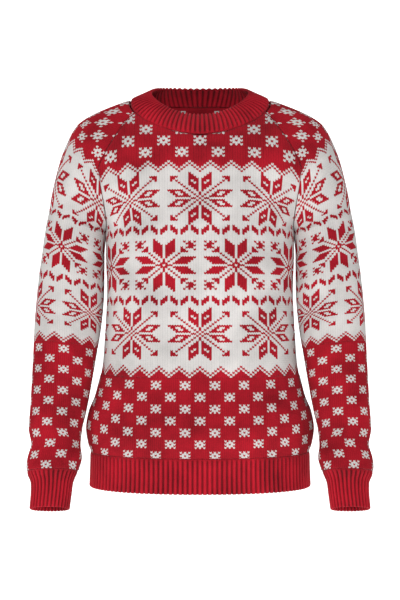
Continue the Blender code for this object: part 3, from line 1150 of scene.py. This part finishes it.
class KnitSettings(PropertyGroup):
    """Gauge and walls of the knitting."""

    stitch_width: FloatProperty(
        name="Stitch width",
        description="Width of one stitch on the body",
        default=4.0 * MM,
        unit="LENGTH",
    )
    row_height: FloatProperty(
        name="Row height",
        description="Height of one row of stitches on the body",
        default=3.0 * MM,
        unit="LENGTH",
    )
    fine_stitch_width: FloatProperty(
        name="Fine stitch width",
        description="Width of one stitch of the finer knit below the stars",
        default=3.27 * MM,
        unit="LENGTH",
    )
    fine_row_height: FloatProperty(
        name="Fine row height",
        description="Height of one row of the finer knit below the stars",
        default=2.58 * MM,
        unit="LENGTH",
    )
    stitch_relief: FloatProperty(
        name="Stitch relief",
        description="How far the legs of a stitch stand out",
        default=0.6 * MM,
        unit="LENGTH",
    )
    rib_relief: FloatProperty(
        name="Rib relief",
        description="How far a rib stands out from the middle of the rib knit",
        default=1.35 * MM,
        unit="LENGTH",
    )
    knit_wall: FloatProperty(
        name="Knit wall",
        description="Thickness of the patterned knit",
        default=2.2 * MM,
        unit="LENGTH",
    )
    rib_wall: FloatProperty(
        name="Rib wall",
        description="Thickness of the hem and the cuffs",
        default=2.8 * MM,
        unit="LENGTH",
    )
    neckband_wall: FloatProperty(
        name="Neckband wall",
        description="Thickness of the neckband, which is folded double",
        default=4.2 * MM,
        unit="LENGTH",
    )


class YarnColours(PropertyGroup):
    """Colours of the yarns."""

    red: FloatVectorProperty(
        name="Red yarn",
        description="Colour of the ground and of the stars",
        default=(0.57, 0.010, 0.026),
        min=0,
        max=1,
        subtype="COLOR",
    )
    white: FloatVectorProperty(
        name="White yarn",
        description="Colour of the star band's ground and of the small flakes",
        default=(0.80, 0.77, 0.75),
        min=0,
        max=1,
        subtype="COLOR",
    )


class StudioSettings(PropertyGroup):
    """Light and floor of the studio."""

    key_power: FloatProperty(
        name="Key light",
        description="Power of the large light in front of the garment",
        default=47.0,
        unit="POWER",
    )
    top_power: FloatProperty(
        name="Top light",
        description="Power of the light above the garment",
        default=10.0,
        unit="POWER",
    )
    room_light: FloatProperty(
        name="Room light",
        description="Strength of the even light from all round",
        default=0.17,
    )
    floor_depth: FloatProperty(
        name="Floor depth",
        description="How far the floor lies below the neck",
        default=0.80,
        unit="LENGTH",
    )


# ---------------------------------------------------------------- operators


def finished(piece, node_name):
    """Ties a piece to the root and hides the CAD node that it stands for."""
    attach(piece, "root")
    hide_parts(node_name)


def body_levels(top, gauge, fine_gauge):
    """The levels of the row edges from the hem's seam to the top, and how many lie below the stars.
    The finer knit is counted down from the star knit's lowest edge."""
    edge = STAR_ROW_HEIGHT + gauge * STAR_FIELD_EDGE
    deep = int((edge - HEM_SEAM - 2 * HALF_SEAM_GAP) / fine_gauge)
    fine = [edge - fine_gauge * n for n in range(deep, 0, -1)]
    tall = int((top - 2 * HALF_SEAM_GAP - edge) / gauge)
    stars = [edge + gauge * n for n in range(tall + 1)]
    return [HEM_SEAM + HALF_SEAM_GAP, *fine, *stars, top - HALF_SEAM_GAP], deep + 1


def mirrored(points):
    return points * vector(-1, 1, 1)


# How far the rows of a panel sag at its seams, by level; below zero they are lifted there
SAG = table(
    "level sag",
    (
        (-600, 0),
        (-545, 0),
        (-530, -4),
        (-500, -7),
        (-465, -3),
        (-431, 0),
        (-330, 4),
        (-265, 11),
        (-160, 17),
        (-95, 13),
        (-60, 0),
        (60, 0),
    ),
)
SAG_START = 0.35  # the share of the way to the seam where the sag begins


def sagging(arms, heights):
    """The arms of level rows, bent down towards their seams. Every point keeps its share of the way
    to the seam, so the ends of the rows stay on it."""
    shares = np.linspace(0.0, 1.0, arms.shape[2])
    bend = (np.clip(shares - SAG_START, 0.0, None) / (1 - SAG_START)) ** 2
    sag = np.array([read(SAG, "level", "sag", height) for height in heights])
    levels = np.asarray(heights)[:, None] - sag[:, None] * bend
    spot = np.interp(levels, heights, np.arange(len(heights)))
    low = np.clip(spot.astype(int), 0, len(heights) - 2)
    part = (spot - low)[:, None, :, None]
    each = np.arange(len(shares))
    below, above = arms[low, :, each], arms[low + 1, :, each]
    return (1 - part) * below.swapaxes(1, 2) + part * above.swapaxes(1, 2)


def panel_cloth(heights, row, turned):
    """The cloth of the front or the back from its level half rows."""
    rows, starts = [], []
    for height in heights:
        half, start = row(height)
        rows.append([half[::-1], mirrored(half[::-1])])
        starts.append(start)
    level = Cloth(rows, starts, turned)
    return Cloth(sagging(level.arms, heights), starts, turned)


def zoned(count, below, pitch, fine_pitch, star_chart, fine_chart):
    """The two zones of a patterned piece: the fine knit below, and the star knit above it."""
    return [
        (0, below, -below, fine_pitch, fine_chart),
        (below, count - 1, int(STAR_FIELD_EDGE + 0.5), pitch, star_chart),
    ]


def knit_body(context, name, row, top, turned, node_name):
    knit, colours = context.scene.sweater_knit, context.scene.sweater_yarns
    finish = yarns(colours)
    heights, below = body_levels(top, knit.row_height / MM, knit.fine_row_height / MM)
    cloth = panel_cloth(heights, row, turned)
    pitch = np.full(len(heights), knit.stitch_width / MM)
    fine_pitch = np.full(len(heights), knit.fine_stitch_width / MM)
    zones = zoned(len(heights), below, pitch, fine_pitch, body_chart, body_flakes)
    materials = [finish["pattern"], finish["wrong_side"]]
    piece = knitted(name, cloth, zones, knit, turned, False, materials)
    finished(piece, node_name)


class SWEATER_OT_front(Operator):
    """Knit the patterned front, from the hem's seam to the raglan seams and the neckline"""

    bl_idname = "sweater.front"
    bl_label = "Front"

    def execute(self, context):
        knit_body(context, "front_knit", front_row, -18.0, False, "front")
        return {"FINISHED"}


class SWEATER_OT_back(Operator):
    """Knit the patterned back, cut like the front with a higher neckline"""

    bl_idname = "sweater.back"
    bl_label = "Back"

    def execute(self, context):
        knit_body(context, "back_knit", back_row, 0.0, True, "back")
        return {"FINISHED"}


SLEEVE_TOP_ROW = 83
SLEEVE_GAUGE = table("place pitch", ((-8, 3.5), (-3, 3.6), (3, 3.65), (9, 3.85)))
FOREARM_ROWS = 84


def ring_height(ring):
    """The mean level of a ring of the arm."""
    return (read(ARM, "ring", "outer_z", ring) + read(ARM, "ring", "inner_z", ring)) / 2


def sleeve_places():
    """The places of the sleeve's row edges, from the cuff up, and how many lie below the stars."""
    edge = read(SLEEVE_ROWS, "row", "place", STAR_FIELD_EDGE)
    heights = np.linspace(ring_height(CUFF_SEAM_RING), ring_height(edge), FOREARM_ROWS + 1)[:-1]
    fine = [
        solved(lambda ring: -ring_height(ring), -height, edge, CUFF_SEAM_RING)
        for height in heights
    ]
    rows = np.arange(STAR_FIELD_EDGE, SLEEVE_TOP_ROW + 0.5)
    stars = [read(SLEEVE_ROWS, "row", "place", row) for row in rows]
    fine[0] = CUFF_SEAM_RING - 0.02
    return np.array([*fine, *stars]), len(fine)


class SWEATER_OT_sleeves(Operator):
    """Knit the two raglan sleeves, from the neckline over the shoulder to the cuff"""

    bl_idname = "sweater.sleeves"
    bl_label = "Sleeves"

    def execute(self, context):
        knit, colours = context.scene.sweater_knit, context.scene.sweater_yarns
        finish = yarns(colours)
        places, below = sleeve_places()
        cloth = Cloth([[arm[::-1] for arm in sleeve_halves(p)[::-1]] for p in places], 0 * places)
        pitch = np.array([read(SLEEVE_GAUGE, "place", "pitch", min(p, 9)) for p in places])
        fine_pitch = np.full(len(places), knit.fine_stitch_width / MM)
        zones = zoned(len(places), below, pitch, fine_pitch, sleeve_chart, sleeve_flakes)
        materials = [finish["pattern"], finish["wrong_side"]]
        for side, mirror in (("left", False), ("right", True)):
            piece = knitted(
                "sleeve_" + side + "_knit", cloth, zones, knit, False, mirror, materials
            )
            finished(piece, "sleeve_" + side)
        return {"FINISHED"}


HEM_RIBS = 61
CUFF_RIBS = 31
NECK_RIBS = 84


class SWEATER_OT_hem(Operator):
    """Knit the two halves of the ribbed hem"""

    bl_idname = "sweater.hem"
    bl_label = "Hem rib"

    def execute(self, context):
        knit, finish = context.scene.sweater_knit, yarns(context.scene.sweater_yarns)
        for side, facing in (("front", -1), ("back", 1)):
            rows = hem_rows(facing, HEM_RIBS)
            turned = facing > 0
            normals = grid_normals(rows, False) * (1 if turned else -1)
            piece = rib_band(
                "hem_rib_" + side + "_knit",
                rows,
                normals,
                knit.rib_wall / MM,
                knit.rib_relief / MM,
                0.0,
                False,
                not turned,
                False,
                finish["rib"],
            )
            finished(piece, "hem_rib_" + side)
        return {"FINISHED"}


class SWEATER_OT_cuffs(Operator):
    """Knit the two ribbed cuffs"""

    bl_idname = "sweater.cuffs"
    bl_label = "Cuffs"

    def execute(self, context):
        knit, finish = context.scene.sweater_knit, yarns(context.scene.sweater_yarns)
        rows = cuff_rows(CUFF_RIBS)
        normals = grid_normals(rows, True)
        centre = rows.mean(axis=1, keepdims=True)
        facing = np.sign(np.sum(normals * (rows - centre), axis=2).mean())
        for side, mirror in (("left", False), ("right", True)):
            piece = rib_band(
                "cuff_" + side + "_knit",
                rows,
                normals * facing,
                knit.rib_wall / MM,
                knit.rib_relief / MM,
                0.0,
                True,
                facing < 0,
                mirror,
                finish["rib"],
            )
            finished(piece, "cuff_" + side)
        return {"FINISHED"}


class SWEATER_OT_neckband(Operator):
    """Knit the crew neckband, folded double"""

    bl_idname = "sweater.neckband"
    bl_label = "Neckband"

    def execute(self, context):
        knit, finish = context.scene.sweater_knit, yarns(context.scene.sweater_yarns)
        rows = band_rows(NECK_RIBS)
        normals = grid_normals(rows, True)
        centre = np.array([0.0, NECK_CENTRE, rows[..., 2].mean()])
        facing = np.sign(np.sum(normals * (rows - centre), axis=2).mean())
        piece = rib_band(
            "neckband_knit",
            rows,
            normals * facing,
            knit.neckband_wall / MM,
            knit.rib_relief / MM,
            SEAM_DEPTH,
            True,
            facing < 0,
            False,
            finish["rib"],
        )
        finished(piece, "neckband")
        return {"FINISHED"}


CAMERA_DISTANCE = 2.5
CAMERA_HEIGHT = -0.254
CAMERA_AIM = -0.315
CAMERA_LENS = 93.75
GARMENT_MIDDLE = (0.0, 0.0, -0.30)
KEY_PLACE = (-0.35, -2.9, 0.55)
TOP_PLACE = (0.0, -0.6, 1.9)
PAPER = (0.93, 0.93, 0.93)
PAPER_ROUGHNESS = 0.9
PAPER_GLOW = 0.85


def area_light(name, place, size, power):
    """A soft light that faces the garment."""
    data = bpy.data.lights.new(name, "AREA")
    data.shape = "RECTANGLE"
    data.size, data.size_y = size
    data.energy = power
    light = bpy.data.objects.new(name, data)
    light.location = place
    away = np.array(place) - np.array(GARMENT_MIDDLE)
    turn = math.atan2(away[0], -away[1])
    tilt = math.atan2(math.hypot(away[0], away[1]), away[2])
    light.rotation_euler = (tilt, 0.0, turn)
    bpy.context.scene.collection.objects.link(light)


class SWEATER_OT_studio(Operator):
    """Set up the camera, the lights, the floor and the backdrop"""

    bl_idname = "sweater.studio"
    bl_label = "Studio"

    def execute(self, context):
        studio = context.scene.sweater_studio
        camera_data = bpy.data.cameras.new("camera")
        camera_data.lens = CAMERA_LENS
        camera_data.sensor_width = 36.0
        camera = bpy.data.objects.new("camera", camera_data)
        camera.location = (0.0, -CAMERA_DISTANCE, CAMERA_HEIGHT)
        drop = math.atan2(CAMERA_HEIGHT - CAMERA_AIM, CAMERA_DISTANCE)
        camera.rotation_euler = (math.pi / 2 - drop, 0.0, 0.0)
        context.scene.collection.objects.link(camera)
        context.scene.camera = camera
        area_light("key", KEY_PLACE, (1.6, 1.6), studio.key_power)
        area_light("top", TOP_PLACE, (2.0, 1.2), studio.top_power)
        world = bpy.data.worlds.new("studio")
        world.use_nodes = True
        backdrop = world.node_tree.nodes["Background"]
        backdrop.inputs["Color"].default_value = (1.0, 1.0, 1.0, 1.0)
        backdrop.inputs["Strength"].default_value = studio.room_light
        context.scene.world = world
        context.scene.view_settings.view_transform = "Standard"
        floor = sweep_floor(studio.floor_depth)
        floor.data.materials.append(paper_material("pale_paper", PAPER, PAPER_ROUGHNESS, PAPER_GLOW))
        return {"FINISHED"}


def sweep_floor(depth):
    """A paper floor that curves up into a backdrop behind the garment."""
    half, behind, bend, tall = 4.0, 2.2, 0.8, 3.5
    profile = [(-4.0, -depth)]
    for n in range(13):
        angle = n / 12 * math.pi / 2
        profile.append((behind + bend * math.sin(angle), -depth + bend * (1 - math.cos(angle))))
    profile.append((behind + bend, tall))
    points = [(x, y, z) for y, z in profile for x in (-half, half)]
    faces = [(2 * n, 2 * n + 1, 2 * n + 3, 2 * n + 2) for n in range(len(profile) - 1)]
    mesh = bpy.data.meshes.new("paper_sweep")
    mesh.from_pydata(points, [], faces)
    mesh.shade_smooth()
    floor = bpy.data.objects.new("paper_sweep", mesh)
    bpy.context.scene.collection.objects.link(floor)
    return floor


class SWEATER_PT_sidebar(Panel):
    """Lists the pieces of the sweater and its settings"""

    bl_idname = "SWEATER_PT_sidebar"
    bl_label = "Christmas Sweater"
    bl_space_type = "VIEW_3D"
    bl_region_type = "UI"
    bl_category = "Sweater"

    def draw(self, context):
        layout = self.layout
        for group in ("sweater_knit", "sweater_yarns", "sweater_studio"):
            settings = getattr(context.scene, group)
            box = layout.box()
            for key in settings.__annotations__:
                box.prop(settings, key)
        for operator in OPERATORS:
            layout.operator(operator.bl_idname)


SETTINGS = {
    "sweater_knit": KnitSettings,
    "sweater_yarns": YarnColours,
    "sweater_studio": StudioSettings,
}
OPERATORS = (
    SWEATER_OT_front,
    SWEATER_OT_back,
    SWEATER_OT_sleeves,
    SWEATER_OT_neckband,
    SWEATER_OT_hem,
    SWEATER_OT_cuffs,
    SWEATER_OT_studio,
)
CLASSES = (*SETTINGS.values(), *OPERATORS, SWEATER_PT_sidebar)


def register():
    for made in CLASSES:
        bpy.utils.register_class(made)
    for name, group in SETTINGS.items():
        setattr(bpy.types.Scene, name, PointerProperty(type=group))


def unregister():
    for name in SETTINGS:
        delattr(bpy.types.Scene, name)
    for made in reversed(CLASSES):
        bpy.utils.unregister_class(made)


def main():
    register()
    bpy.ops.object.select_all(action="DESELECT")
    bpy.ops.sweater.front()
    bpy.ops.sweater.back()
    bpy.ops.sweater.sleeves()
    bpy.ops.sweater.neckband()
    bpy.ops.sweater.hem()
    bpy.ops.sweater.cuffs()
    bpy.ops.sweater.studio()


if __name__ == "__main__":
    main()
